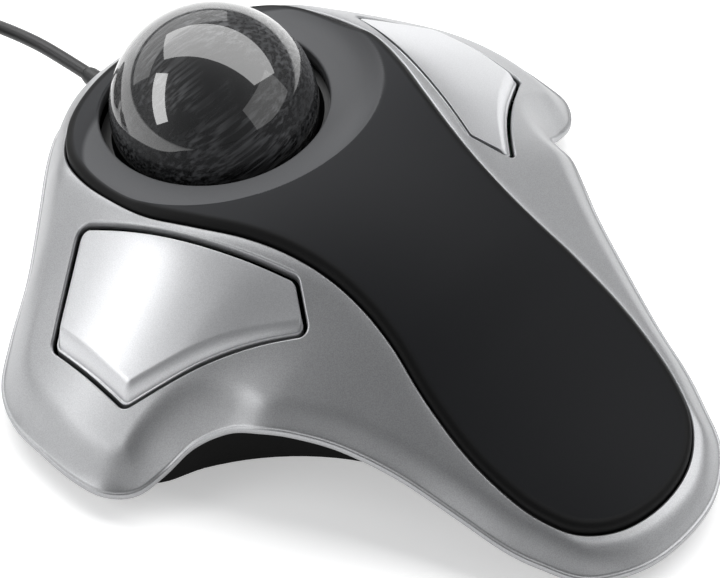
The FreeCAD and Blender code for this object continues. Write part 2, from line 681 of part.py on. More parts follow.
# ---------------------------------------------------------------- everything, node by node
save(make_ball(), "ball")
save(Part.makeSphere(BEAD_RADIUS, BALL_CENTRE), "ball_axis_bead")
save(make_cup(), "ball_cup")
for index, bearing in enumerate(make_bearings()):
    save(bearing, "support_bearing_%d" % (index + 1))
save(make_shell(), "top_shell")
save(make_panel(), "centre_panel")
save(make_base(), "base_cover")
right = make_button()
save(right, "right_button")
save(mirrored(right), "left_button")
rod = make_hinge_rod()
save(rod, "right_hinge_rod")
save(mirrored(rod), "left_hinge_rod")
switch, plunger = make_switch(), make_plunger()
save(switch, "right_switch_body")
save(mirrored(switch), "left_switch_body")
save(plunger, "right_switch_plunger")
save(mirrored(plunger), "left_switch_plunger")
save(make_board(), "main_board")
for name, shape in zip(("sensor_lens", "sensor_chip", "sensor_board", "sensor_lamp"), make_sensor_parts()):
    save(shape, name)
board_top = BOARD_Z + BOARD_WALL
save(box((10.3, 7.5, 2.3), (0, 1.5, board_top)), "controller_chip")
save(make_crystal(), "clock_crystal")
save(Part.makeCompound(make_electrolytics()), "capacitors")
save(box((11, 6.0, 6.5), (14.5, 8.4, board_top)), "lead_connector")
save(make_inner_lead(), "inner_lead")
save(Part.makeCompound([screw(x, y, FOOT_HEIGHT + 0.3, 2.4, 1.6, 1.1, 10) for x, y in base_screw_places()]),
     "base_screws")
save(Part.makeCompound([screw(x, y, FOOT_HEIGHT + 0.1, 2.0, 1.1, 0.95, 8) for x, y in CUP_POSTS]),
     "cup_screws")
save(Part.makeCompound([board_screw(x, y) for x, y in BOARD_POSTS]), "board_screws")
for name, (x, y, radius) in zip(("foot_right", "foot_left", "foot_front", "foot_rear"), FEET):
    save(make_foot(x, y, radius), name)
save(make_relief(), "cord_sleeve")
save(tangent_tube(CORD_ROUTE, CORD_RADIUS, "cord"), "cord_run")
save(make_coil(), "cord_coil")
save(tangent_tube(TAIL_ROUTE, CORD_RADIUS, "tail"), "cord_tail")
for name, shape in zip(("plug_grip", "plug_sleeve", "plug_tongue"), make_plug()):
    save(shape, name)
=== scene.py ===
import json
import math

import bmesh
import bpy
import numpy as np
from mathutils import Matrix, Vector


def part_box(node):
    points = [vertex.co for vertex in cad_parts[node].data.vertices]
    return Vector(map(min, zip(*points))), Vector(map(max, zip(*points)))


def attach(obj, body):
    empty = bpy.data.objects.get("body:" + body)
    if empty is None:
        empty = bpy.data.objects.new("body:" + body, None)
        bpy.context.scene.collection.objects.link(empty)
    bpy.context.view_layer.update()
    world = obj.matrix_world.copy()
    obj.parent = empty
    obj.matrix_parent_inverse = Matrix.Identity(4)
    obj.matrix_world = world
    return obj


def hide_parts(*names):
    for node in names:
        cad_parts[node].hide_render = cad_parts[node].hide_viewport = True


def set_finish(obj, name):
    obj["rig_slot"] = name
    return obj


# Trackball mouse. Shapes are worked out in millimetres and written into the meshes in metres.
# +Z is up, +Y points from the palm rest to the ball and the cord.

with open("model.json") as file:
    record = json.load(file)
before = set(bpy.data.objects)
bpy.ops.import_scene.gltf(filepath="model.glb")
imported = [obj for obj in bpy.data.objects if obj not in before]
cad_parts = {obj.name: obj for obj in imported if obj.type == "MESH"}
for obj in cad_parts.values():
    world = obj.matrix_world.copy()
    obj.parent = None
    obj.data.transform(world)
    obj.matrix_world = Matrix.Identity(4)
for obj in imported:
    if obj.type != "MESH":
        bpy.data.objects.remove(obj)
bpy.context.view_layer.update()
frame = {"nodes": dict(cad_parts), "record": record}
MM = 0.001

# ---------------------------------------------------------------- sizes
ball_low, ball_high = (np.array(corner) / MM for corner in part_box("ball"))
BALL_CENTRE = (ball_low + ball_high) / 2
BALL_RADIUS = (ball_high - ball_low)[2] / 2

PANEL_PROUD = 1.4
PANEL_GAP = 0.25
PANEL_ROLL = 1.5              # radius of the soft panel's rolled edge
SKIN_ROLL = 0.45              # radius of the skin's edge along the panel and the buttons
SKIN_WALL = 2.2
PANEL_WALL = 3.0
BUTTON_GAP = 0.7
FACE_RISE = (-0.5, 0.085)     # finger face above the skin at the inner edge, and gain per millimetre out
RIM_RISE = (-1.1, 0.0)        # the same for the button's own edge
BUTTON_WALL = 2.2
BEVEL_CURVE = 1.9             # power that bends the bevel down towards the button's own edge
CAP_ROLL = 0.3                # radius of the button's own edge
OPENING_RADIUS = 22.0
OPENING_Z = 32.3
OPENING_TILT = -0.12
OPENING_ROLL = 0.5            # radius of the panel's edge around the ball

# Half outlines from the cord end to the palm end: x, y, height of the skin's edge, width over which
# the skin rounds off towards that edge.
SKIN_EDGE = [
    (0, 76.5, 6, 11), (9.3, 75.4, 6, 11), (17, 70.9, 6, 10), (28.8, 60.9, 6, 9), (40.5, 51.2, 6, 8),
    (52.4, 42.9, 6, 7), (60.5, 36.4, 5.5, 6), (64.4, 29, 5.5, 6), (65.4, 20, 6, 6), (65.4, 12, 6, 6),
    (64.2, 5.5, 6.5, 6), (60.5, 1.3, 7, 6), (54.9, -0.3, 9, 7), (49.4, -2.6, 14, 7), (45, -7.5, 19, 6),
    (42.3, -13, 21.6, 4), (39, -18.5, 22, 4), (34.9, -26, 20.8, 4), (31, -36, 17.8, 4),
    (27.7, -47, 13, 4), (25.4, -56, 9.6, 4), (22.8, -62.3, 7.6, 4), (18.6, -69.6, 6, 4),
    (10, -75, 6, 4), (0, -76.5, 6, 4)]
PANEL_EDGE = [
    (0, 66), (10, 64.7), (19.5, 60.3), (26.5, 53), (29.8, 45), (30.9, 36), (30.4, 26.5), (27.3, 17),
    (23.9, 8.6), (21.1, 0.3), (19.3, -8), (18.8, -16), (19.4, -23.6), (20.9, -31.7), (21.8, -41.7),
    (21.3, -50.2), (19.6, -58), (15.9, -64.9), (9, -69.6), (0, -71.2)]

# Profiles along Y: (y, value).
RIDGE_HEIGHT = [(-92, 2), (-78, 6.5), (-64, 11.6), (-50, 17.4), (-36, 24.6), (-22, 32.7), (-8, 38.1),
                (6, 39.9), (20, 38.1), (34, 34.6), (48, 30.4), (62, 24.6), (76, 17.6), (90, 11)]
RIDGE_HALF_WIDTH = [(-92, 14), (-78, 15), (-64, 17.5), (-50, 21.3), (-36, 21.6), (-22, 19.3),
                    (-8, 19.3), (6, 23), (20, 28.3), (34, 30.8), (48, 29.5), (62, 26), (76, 21), (90, 18)]
SHOULDER = [(-92, 2), (-12, 2.6), (6, 5.5), (34, 2.5), (90, 2.5)]
SLOPE = [(-92, 0.56), (-30, 0.56), (-14, 0.60), (0, 0.82), (20, 0.88), (90, 0.88)]
CROWN = [(-92, 1.2), (-60, 1.6), (-20, 2.4), (30, 2.4), (90, 2.0)]
DISH_RISE = [(20, 0), (22, 0), (25, 0.2), (28, 1.0), (30, 2.5), (31.5, 4.8), (33, 8.5), (35, 15)]

# Right button, corners in order: front inner, rear inner, rear end, rear edge, outer rear, outer
# front; and how far each edge of the finger face lies inside the button's edge.
BUTTON_CORNERS = [(36.2, 38.7), (22.5, -3.8), (27.6, -11.3), (37.6, -1.2), (54.5, 9.4), (54.0, 29.0)]
BUTTON_CORNER_RADII = [2.0, 2.0, 1.6, 75.0, 2.5, 2.5]
CAP_CORNER_RADII = [1.5, 1.5, 1.3, 75, 2.0, 2.0]
FACE_CORNER_RADII = [1.2, 1.2, 0.5, 70, 0.8, 1.2]
FACE_INSETS = [0.4, 0.4, 1.9, 2.3, 2.6, 0.4]

# Steps outward and up of the small ledge along the skin's lower edge.
SKIN_LEDGE = [(0, 0), (0.1, -0.12), (0.3, -0.16), (0.48, -0.2), (0.6, -0.3), (0.66, -0.5), (0.68, -0.9),
              (0.66, -1.4), (0.58, -1.75), (0.4, -1.95), (0.1, -2.05), (-0.5, -2.1), (0, -SKIN_WALL)]

# Cord: control points of its route, in millimetres, near the CAD's.
CORD_RADIUS = 1.4
CORD_ROUTE = [(0, 77.5, 13), (0, 84.5, 12.3), (-0.1, 93, 11.2), (-0.4, 105, 7.8), (-0.9, 117, 3.0),
              (-1.2, 126, 1.5)]
# Sleeve at the cord's exit: (radius, y) from its inner end to its tip.
SLEEVE = [(1.45, 68), (2.3, 68.2), (2.25, 71), (2.1, 73.5), (1.85, 76.5), (1.6, 77.3), (1.45, 77.5)]
COIL_CENTRE = (-21.5, 132.0)
COIL_RADII = [20.2, 17.4, 14.6, 11.8]
COIL_LAYERS = [1.5, 4.3, 7.1, 9.8]
COIL_TURNS = 16.25
TURN_POINTS = 16              # control points in each turn of the coil
STEP_OVER = 0.25              # share of a turn in which it steps to the next place
SPLINE_SHRINK = 0.985         # a turn's radius over that of its control points
TAIL_ROUTE = [(-27, 152.4, 9.8), (-38, 152.2, 9.0), (-48.5, 148.5, 5.4), (-54.5, 140, 3.7),
              (-54.5, 129, 3.7)]


# ---------------------------------------------------------------- camera
def aim(thing, offset, target, upright=(0, 0, 1)):
    """Puts a camera or lamp at an offset from a target, both in metres, looking at the target, with
    its own upright direction as near the given one as it can be."""
    back = Vector(offset).normalized()
    across = Vector(upright).cross(back).normalized()
    turn = Matrix((across, back.cross(across), back)).transposed().to_4x4()
    thing.matrix_world = Matrix.Translation(Vector(target) + Vector(offset)) @ turn


CAMERA_AZIMUTH, CAMERA_ELEVATION = math.radians(-47.1), math.radians(51.9)
camera = bpy.data.objects.new("camera", bpy.data.cameras.new("camera"))
bpy.context.scene.collection.objects.link(camera)
camera.data.lens = 125
camera.data.clip_start = 0.01
camera_back = Vector((math.sin(CAMERA_AZIMUTH) * math.cos(CAMERA_ELEVATION),
                      -math.cos(CAMERA_AZIMUTH) * math.cos(CAMERA_ELEVATION),
                      math.sin(CAMERA_ELEVATION)))
CAMERA_PLACE = Vector((-0.21533, -0.19775, 0.38267))
aim(camera, camera_back, CAMERA_PLACE - camera_back)
bpy.context.scene.camera = camera


# ---------------------------------------------------------------- curves and surfaces
def smooth(table, v):
    """Cubic Hermite curve through (place, value) pairs, its slopes from each pair's neighbours."""
    places, values = np.array(table, float).T
    i = np.clip(np.searchsorted(places, v) - 1, 0, len(places) - 2)
    before, after = np.maximum(np.arange(len(places)) - 1, 0), np.arange(len(places)) + 1
    after = np.minimum(after, len(places) - 1)
    slopes = (values[after] - values[before]) / (places[after] - places[before])
    width = places[i + 1] - places[i]
    t = (v - places[i]) / width
    h = t * t * (3 - 2 * t)
    return (values[i] * (1 - h) + values[i + 1] * h + slopes[i] * width * t * (1 - t) ** 2
            - slopes[i + 1] * width * t * t * (1 - t))


def closed_curve(half, steps):
    """Catmull-Rom curve through a half outline and its mirror image, with equal steps per span."""
    half = np.array(half, float)
    mirrored = half[-2:0:-1] * np.array([-1] + [1] * (half.shape[1] - 1))
    ring = np.concatenate([half, mirrored])
    p, q, r, w = (np.roll(ring, shift, axis=0)[:, None, :] for shift in (1, 0, -1, -2))
    t = np.arange(steps)[None, :, None] / steps
    points = q + 0.5 * t * ((r - p) + t * ((2 * p - 5 * q + 4 * r - w) + t * (3 * q - p - 3 * r + w)))
    return points.reshape(-1, ring.shape[1])


def spaced(points, count, closed=False):
    """Points at equal distances along a line of points."""
    if closed:
        points = np.concatenate([points, points[:1]])
    run = np.concatenate([[0], np.cumsum(np.linalg.norm(np.diff(points[:, :2], axis=0), axis=1))])
    at = np.linspace(0, run[-1], count + 1)[:-1] if closed else np.linspace(0, run[-1], count)
    return np.stack([np.interp(at, run, column) for column in points.T], -1)


SKIN_RING = closed_curve(SKIN_EDGE, 8)


def edge_distance(xy):
    """Distance in from the skin's edge, and the edge's height and rounding width there."""
    p, q = SKIN_RING, np.roll(SKIN_RING, -1, axis=0)
    along = (q - p)[:, :2]
    best = []
    for block in np.array_split(xy, max(1, len(xy) // 4000)):
        rel = block[:, None, :] - p[None, :, :2]
        t = np.clip((rel * along).sum(-1) / (along ** 2).sum(-1), 0, 1)
        away = np.linalg.norm(rel - t[..., None] * along, axis=-1)
        k = away.argmin(1)
        row = np.arange(len(block))
        height_width = p[k, 2:] + t[row, k][:, None] * (q[k, 2:] - p[k, 2:])
        best.append(np.concatenate([away[row, k][:, None], height_width], 1))
    return np.concatenate(best).T


def crown_height(x, y):
    """Ridge along Y with a crowned top; each flank falls at a slope that starts round a shoulder."""
    ridge, half = smooth(RIDGE_HEIGHT, y), smooth(RIDGE_HALF_WIDTH, y)
    shoulder, slope, crown = smooth(SHOULDER, y), smooth(SLOPE, y), smooth(CROWN, y)
    out = np.maximum(np.abs(x) - half, 0)
    flank = slope * (np.hypot(out, shoulder) - shoulder) + 2 * crown / half * out * np.exp(-out / 6)
    return ridge + crown * (1 - np.minimum(np.abs(x) / half, 1) ** 2) - flank


def skin_height(x, y):
    """Crown height, blended to the edge's own height over its rounding width as 1 - u to the 2.5."""
    shape = x.shape
    xy = np.stack([x.ravel(), y.ravel()], -1)
    away, edge, width = edge_distance(xy)
    u = np.clip(1 - away / width, 0, 1)
    top = np.maximum(crown_height(xy[:, 0], xy[:, 1]), edge + 2)
    return (edge + (top - edge) * (1 - u ** 2.5)).reshape(shape)


def soft_minimum(a, b, round_off):
    """The lower of two heights, with the crease between them rounded off."""
    return (a + b - np.sqrt((a - b) ** 2 + round_off ** 2)) / 2


def panel_height(x, y):
    """The skin's height plus the panel's, or the dish's tilted bowl where that is lower."""
    radius = np.hypot(x, y - BALL_CENTRE[1])
    bowl = OPENING_Z + OPENING_TILT * (y - BALL_CENTRE[1]) + smooth(DISH_RISE, np.minimum(radius, 35))
    return soft_minimum(skin_height(x, y) + PANEL_PROUD, bowl, 0.35)


def rounded_polygon(corners, radii, arc_steps=14, edge_steps=26):
    """Straight edges with an arc at each corner, as a closed ring of points."""
    c = np.array(corners, float)
    back, ahead = np.roll(c, 1, axis=0) - c, np.roll(c, -1, axis=0) - c
    back /= np.linalg.norm(back, axis=1)[:, None]
    ahead /= np.linalg.norm(ahead, axis=1)[:, None]
    half = np.arccos((back * ahead).sum(1)) / 2
    middle = back + ahead
    middle /= np.linalg.norm(middle, axis=1)[:, None]
    radii = np.array(radii)[:, None]
    centre = c + middle * radii / np.sin(half)[:, None]
    start, end = (c + side * radii / np.tan(half)[:, None] for side in (back, ahead))
    a, b = (np.arctan2(*(p - centre).T[::-1]) for p in (start, end))
    sweep = (b - a + math.pi) % (2 * math.pi) - math.pi
    angle = a[:, None] + sweep[:, None] * np.linspace(0, 1, arc_steps)[None]
    arcs = centre[:, None] + radii[:, None] * np.stack([np.cos(angle), np.sin(angle)], -1)
    t = np.linspace(0, 1, edge_steps)[None, 1:-1, None]
    runs = end[:, None] * (1 - t) + np.roll(start, -1, axis=0)[:, None] * t
    return np.concatenate([arcs, runs], 1).reshape(-1, 2)


def inset_corners(corners, insets):
    """Corners of a polygon whose edges have each moved inwards by their own amount."""
    c = np.array(corners, float)
    ahead = np.roll(c, -1, axis=0) - c
    side = np.sign((c[:, 0] * np.roll(c, -1, axis=0)[:, 1] - np.roll(c, -1, axis=0)[:, 0] * c[:, 1]).sum())
    normal = side * np.stack([-ahead[:, 1], ahead[:, 0]], -1) / np.linalg.norm(ahead, axis=1)[:, None]
    reach = (normal * c).sum(1) + np.array(insets)
    pairs = np.stack([np.roll(normal, 1, axis=0), normal], 1)
    return np.linalg.solve(pairs, np.stack([np.roll(reach, 1), reach], 1)[..., None])[..., 0]


def outward(ring):
    """Unit normals in plan of a closed ring of points, pointing out of it."""
    tangent = np.roll(ring, -1, axis=0)[:, :2] - np.roll(ring, 1, axis=0)[:, :2]
    tangent /= np.linalg.norm(tangent, axis=1)[:, None]
    area = (ring[:, 0] * np.roll(ring[:, 1], -1) - np.roll(ring[:, 0], -1) * ring[:, 1]).sum()
    return np.stack([tangent[:, 1], -tangent[:, 0]], -1) * np.sign(area)


def between(inner, outer, shares):
    """Grid whose rows run from one line of points to another, at these shares of the way."""
    shares = np.array(shares)[:, None, None]
    return inner[None] * (1 - shares) + outer[None] * shares


def raised(plan, height):
    """Grid of points in plan with a height function's value as z."""
    return np.concatenate([plan, height(plan[..., 0], plan[..., 1])[..., None]], -1)


# ---------------------------------------------------------------- meshes
def grid_faces(rows, columns, wrap, first):
    """Corner numbers of a grid's quads; wrap joins the last column to the first."""
    index = np.arange(rows * columns).reshape(rows, columns) + first
    if wrap:
        index = np.concatenate([index, index[:, :1]], 1)
    quads = np.stack([index[:-1, :-1], index[:-1, 1:], index[1:, 1:], index[1:, :-1]], -1)
    return quads.reshape(-1, 4)


def shaped(name, grids):
    """One smooth-shaded mesh from (points, wrap) grids in millimetres, merged along their seams."""
    verts, faces, first = [], [], 0
    for points, wrap in grids:
        rows, columns = points.shape[:2]
        verts.append(points.reshape(-1, 3) * MM)
        faces.append(grid_faces(rows, columns, wrap, first))
        first += rows * columns
    mesh = bpy.data.meshes.new(name)
    mesh.from_pydata(np.concatenate(verts).tolist(), [], np.concatenate(faces).tolist())
    work = bmesh.new()
    work.from_mesh(mesh)
    bmesh.ops.remove_doubles(work, verts=work.verts, dist=2e-6)
    bmesh.ops.recalc_face_normals(work, faces=work.faces)
    work.to_mesh(mesh)
    work.free()
    mesh.shade_smooth()
    made = bpy.data.objects.new(name, mesh)
    bpy.context.scene.collection.objects.link(made)
    return made


def make_piece(name, grids, body, slot):
    """A shaped mesh that rides on a body and takes its finish from a slot."""
    piece = shaped(name, grids)
    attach(piece, body)
    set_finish(piece, slot)
    return piece


def mark(piece, name, measure):
    """Stores a value at every point, from a function of the point's place in millimetres."""
    mesh = piece.data
    places = np.empty(len(mesh.vertices) * 3)
    mesh.vertices.foreach_get("co", places)
    values = measure(*(places.reshape(-1, 3) / MM).T)
    mesh.attributes.new(name, "FLOAT", "POINT").data.foreach_set("value", values.astype(np.float32))


def edge_strip(ring, profile):
    """Profile of (outward, up) steps carried along a closed ring of 3-D points."""
    normal = outward(ring)
    steps = np.array(profile, float)
    plan = ring[None, :, :2] + normal[None] * steps[:, 0, None, None]
    z = ring[None, :, 2] + steps[:, 1, None]
    return np.concatenate([plan, z[..., None]], -1)


def quarter_roll(radius, drop, steps=6):
    """Quarter circle from flat to upright, then straight down by what is left of the drop."""
    a = np.linspace(0, math.pi / 2, steps)
    points = [(radius * math.sin(k), -radius * (1 - math.cos(k))) for k in a]
    return points + [(radius, -radius - (drop - radius) * s) for s in (0.15, 0.5, 1.0)]


def shares_dense_at_ends(count):
    """Shares from 0 to 1 that crowd together at both ends, as half a cosine wave does."""
    return (1 - np.cos(np.linspace(0, math.pi, count))) / 2


# ---------------------------------------------------------------- silver skin
PANEL_POINTS, SKIN_POINTS = 400, 560
panel_ring = spaced(closed_curve(PANEL_EDGE, 12), PANEL_POINTS, closed=True)
skin_ring = spaced(closed_curve(SKIN_EDGE, 12)[:, :2], SKIN_POINTS, closed=True)
opening_ring = rounded_polygon(BUTTON_CORNERS, BUTTON_CORNER_RADII)
panel_lip = panel_ring + outward(panel_ring) * SKIN_ROLL
opening_lip = opening_ring + outward(opening_ring) * SKIN_ROLL


def nearest(ring, place):
    """Index of the point of a ring that lies closest to a place."""
    return int(np.linalg.norm(ring - np.array(place), axis=1).argmin())


def stretch(ring, start, end):
    """Points of a closed ring from one index on to another, going round past its end if need be."""
    end = end + len(ring) if end <= start else end
    return ring[np.arange(start, end + 1) % len(ring)]


FRONT_CUT = ((29.6, 46.0), (57.5, 39.0))
REAR_CUT = ((19.8, -26.0), (35.5, -24.5))
# Places on the panel's edge and on the skin's that face a corner of the button's opening.
FACING_REAR_INNER, FACING_REAR_OUTER, FACING_FRONT_OUTER = (20.3, -4.0), (62.2, 2.6), (62.6, 33.5)
ROWS = shares_dense_at_ends(36)
END_COLUMNS, WING_COLUMNS = 150, 110


def skin_patches():
    """Front and tail patches run from the panel to the skin's edge; between them each wing patch
    runs from its button's opening to the loop of panel edge, cuts and skin edge around it."""
    front_panel, rear_panel = (nearest(panel_lip, cut[0]) for cut in (FRONT_CUT, REAR_CUT))
    front_skin, rear_skin = (nearest(skin_ring, cut[1]) for cut in (FRONT_CUT, REAR_CUT))
    count_panel, count_skin = len(panel_lip), len(skin_ring)

    def patch(panel_from, panel_to, skin_from, skin_to, columns):
        inner = spaced(stretch(panel_lip, panel_from, panel_to), columns)
        outer = spaced(stretch(skin_ring, skin_from, skin_to), columns)
        return between(inner, outer, ROWS), inner, outer

    front, front_inner, front_outer = patch(count_panel - front_panel, front_panel,
                                            count_skin - front_skin, front_skin, END_COLUMNS)
    tail, tail_inner, tail_outer = patch(rear_panel, count_panel - rear_panel,
                                         rear_skin, count_skin - rear_skin, END_COLUMNS)
    wing_inner = spaced(stretch(panel_lip, front_panel, rear_panel), WING_COLUMNS)
    wing_outer = spaced(stretch(skin_ring, front_skin, rear_skin), END_COLUMNS)
    front_cut, rear_cut = front[:, -1], tail[:, 0]
    loop = np.concatenate([wing_inner[:-1], rear_cut[:-1], wing_outer[::-1][:-1], front_cut[::-1][:-1]])
    # places on the loop and on the opening that face each other
    rear_inner = nearest(wing_inner, FACING_REAR_INNER)
    after_panel = len(wing_inner) - 1
    after_rear = after_panel + len(rear_cut) - 1
    wing_rear = after_rear + nearest(wing_outer[::-1], FACING_REAR_OUTER)
    wing_front = after_rear + nearest(wing_outer[::-1], FACING_FRONT_OUTER)
    after_outer = after_rear + len(wing_outer) - 1
    loop_marks = [0, rear_inner, after_panel, after_rear, wing_rear, wing_front, after_outer, len(loop)]
    per_corner = len(opening_lip) / len(BUTTON_CORNERS)
    middle = 7      # half of a corner's arc steps
    opening_marks = [middle, per_corner + middle, 2 * per_corner + middle - 4, 2 * per_corner + middle + 4,
                     4 * per_corner + middle, 5 * per_corner + middle, 5 * per_corner + middle + 6,
                     6 * per_corner + middle]
    at = np.interp(np.arange(len(loop)), loop_marks, opening_marks)
    low = np.floor(at).astype(int)
    part = (at - low)[:, None]
    opening = (opening_lip[low % len(opening_lip)] * (1 - part)
               + opening_lip[(low + 1) % len(opening_lip)] * part)
    wing = between(opening, loop, ROWS)
    inner_ring = np.concatenate([front_inner[:-1], wing_inner[:-1], tail_inner[:-1],
                                 (wing_inner * (-1, 1))[::-1][:-1]])
    outer_ring = np.concatenate([front_outer[:-1], wing_outer[:-1], tail_outer[:-1],
                                 (wing_outer * (-1, 1))[::-1][:-1]])
    patches = [(front, False), (tail, False), (wing, True), (wing * (-1, 1), True)]
    return patches, inner_ring, outer_ring, opening


def make_skin():
    """Upper surface, the same surface lower down, and the strips that join them along every edge."""
    patches, inner, outer, opening = skin_patches()
    top = [(raised(plan, skin_height), wrap) for plan, wrap in patches]
    down = np.array([0, 0, -SKIN_WALL])
    grids = top + [(points + down, wrap) for points, wrap in top]
    roll = quarter_roll(SKIN_ROLL, SKIN_WALL)
    back_in = [(-step[0], step[1]) for step in roll] + [(0, -SKIN_WALL)]
    for ring in (inner, opening, opening * (-1, 1)):
        grids.append((edge_strip(raised(ring, skin_height), back_in), True))
    grids.append((edge_strip(raised(outer, skin_height), SKIN_LEDGE), True))
    skin = make_piece("silver_skin", grids, "housing", "silver_skin")
    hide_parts("top_shell")
    return skin


skin = make_skin()


# ---------------------------------------------------------------- soft panel
PALM_CUT = (22.0, 4.0)
PALM_COLUMNS, DISH_ROWS = 61, 64


def painted_shade_rim_share(x, y, z):
    """1 on the panel's rolled edge, 0 on its face; masks the painted shade on the rolled edge."""
    away = [np.hypot(*(np.stack(block)[:, :, None] - panel_ring.T[:, None, :])).min(1)
            for block in zip(np.array_split(x, 16), np.array_split(y, 16))]
    return np.clip((PANEL_GAP + PANEL_ROLL + 0.25 - np.concatenate(away)) / 0.5, 0, 1)


def painted_light_dish_share(x, y, z):
    """1 inside the bowl around the ball, 0 on the palm side of its crease; masks the painted light on the
    dish.
    """
    radius = np.hypot(x, y - BALL_CENTRE[1])
    over = skin_height(x, y) + PANEL_PROUD - z
    return np.clip((over - 0.12) / 0.25, 0, 1) * (radius < 36) * (1 - painted_shade_rim_share(x, y, z))


def make_panel():
    """Rays from the ball's opening to the panel's edge or to a line across the palm, then rows across
    the palm to its rounded end; the edge rolls over and the opening has a short wall."""
    ring = panel_ring - outward(panel_ring) * (PANEL_GAP + PANEL_ROLL)
    half = len(ring) // 2
    cut = nearest(ring, PALM_CUT)
    right = ring[cut:half + 1]
    share = np.linspace(-1, 1, PALM_COLUMNS)
    palm = np.stack([right[:, :1] * share[None], np.repeat(right[:, 1:], PALM_COLUMNS, 1)], -1)
    arc = stretch(ring, len(ring) - cut, cut)
    loop = np.concatenate([arc[:-1], palm[0][::-1][:-1]])
    angle = np.arctan2(loop[:, 1] - BALL_CENTRE[1], loop[:, 0])
    circle = BALL_CENTRE[:2] + (OPENING_RADIUS + OPENING_ROLL) * np.stack([np.cos(angle), np.sin(angle)], -1)
    around = between(circle, loop, np.linspace(0, 1, DISH_ROWS))
    top = [(raised(around, panel_height), True), (raised(palm, panel_height), False)]
    down = np.array([0, 0, -PANEL_WALL])
    grids = top + [(points + down, wrap) for points, wrap in top]
    edge = np.concatenate([arc[:-1], right[:-1], (right * (-1, 1))[::-1][:-1]])
    roll = quarter_roll(PANEL_ROLL, PANEL_WALL) + [(0, -PANEL_WALL)]
    grids.append((edge_strip(raised(edge, panel_height), roll), True))
    back_in = [(-step[0], step[1]) for step in quarter_roll(OPENING_ROLL, PANEL_WALL)] + [(0, -PANEL_WALL)]
    grids.append((edge_strip(raised(circle, panel_height), back_in), True))
    panel = make_piece("soft_panel", grids, "housing", "soft_panel")
    # Mask of the dish, where the panel's colour is painted lighter as light on the bowl's slope.
    mark(panel, "dish", painted_light_dish_share)
    # Mask of the rolled edge, where the panel's colour is painted darker as shade.
    mark(panel, "rim", painted_shade_rim_share)
    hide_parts("centre_panel")
    return panel


panel = make_panel()


# ---------------------------------------------------------------- buttons
def make_button(side, body, node):
    """Rings from the button's middle out to its finger face, down a wide bevel to its edge, over the
    edge and down its wall, then back to the middle underneath."""
    flip = np.array([1 if side == "right" else -1, 1])
    edge_corners = inset_corners(BUTTON_CORNERS, [BUTTON_GAP] * 6)
    face_corners = inset_corners(edge_corners, FACE_INSETS)
    edge = rounded_polygon(edge_corners, CAP_CORNER_RADII)
    face = rounded_polygon(face_corners, FACE_CORNER_RADII)
    rim = edge - outward(edge) * CAP_ROLL
    middle = np.repeat(face.mean(0)[None], len(face), 0)
    face_plan = between(middle, face, np.linspace(0, 1, 36))
    bevel_shares = np.array([0, 0.03, 0.08, 0.16, 0.3, 0.5, 0.7, 0.85, 0.95, 1])
    bevel_plan = between(face, rim, bevel_shares)

    inner, rear = np.array(BUTTON_CORNERS[0]), np.array(BUTTON_CORNERS[1])
    across = np.array([(inner - rear)[1], (rear - inner)[0]]) / np.linalg.norm(inner - rear)

    def above_skin(plan, start, gain):
        return start + gain * ((plan - inner) * across).sum(-1)

    top = raised(face_plan, skin_height)
    top[..., 2] += above_skin(face_plan, *FACE_RISE)
    bevel = raised(bevel_plan, skin_height)
    high, low = (above_skin(bevel_plan, *rise) for rise in (FACE_RISE, RIM_RISE))
    bevel[..., 2] += high + (low - high) * (bevel_shares ** BEVEL_CURVE)[:, None]
    wall = edge_strip(bevel[-1], quarter_roll(CAP_ROLL, BUTTON_WALL) + [(0, -BUTTON_WALL)])
    under = between(wall[-1], wall[-1].mean(0)[None].repeat(len(face), 0), np.linspace(0, 1, 8))
    grids = [(points * np.append(flip, 1), True) for points in (top, bevel, wall, under)]
    button = make_piece(side + "_button_cap", grids, body, "button_skin")
    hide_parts(node)
    return button


right_button = make_button("right", "button_right", "right_button")
left_button = make_button("left", "button_left", "left_button")


# ---------------------------------------------------------------- ball
def make_ball():
    """Sphere by longitude and latitude."""
    lon = np.linspace(0, 2 * math.pi, 193)[:-1][None]
    lat = np.linspace(-math.pi / 2, math.pi / 2, 97)[:, None]
    points = np.stack([np.cos(lat) * np.cos(lon), np.cos(lat) * np.sin(lon),
                       np.sin(lat) + 0 * lon], -1) * BALL_RADIUS + BALL_CENTRE
    ball = make_piece("polished_ball", [(points, True)], "ball", "ball_resin")
    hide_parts("ball")
    return ball


ball = make_ball()


# ---------------------------------------------------------------- cord
def coil_points():
    """Turns side by side and in layers; each turn steps to the next place over its last part."""
    turn = np.arange(0, int(COIL_TURNS * TURN_POINTS) + 1) / TURN_POINTS
    across, count = len(COIL_RADII), len(COIL_RADII) * len(COIL_LAYERS)
    number = np.minimum(turn.astype(int), count - 1)
    # (place across, layer) of each turn: inwards on one layer, outwards on the next
    order = [(k % across if (k // across) % 2 == 0 else across - 1 - k % across, k // across)
             for k in range(count)]
    order = np.array(order + [(0, len(COIL_LAYERS) - 1)])
    step = np.clip((turn - number - (1 - STEP_OVER)) / STEP_OVER, 0, 1)
    radii, layers = np.array(COIL_RADII), np.array(COIL_LAYERS)
    r = radii[order[number, 0]] * (1 - step) + radii[order[number + 1, 0]] * step
    z = layers[order[number, 1]] * (1 - step) + layers[order[number + 1, 1]] * step
    r = r / SPLINE_SHRINK
    angle = 2 * math.pi * turn
    return np.stack([COIL_CENTRE[0] + r * np.cos(angle), COIL_CENTRE[1] + r * np.sin(angle), z], -1)


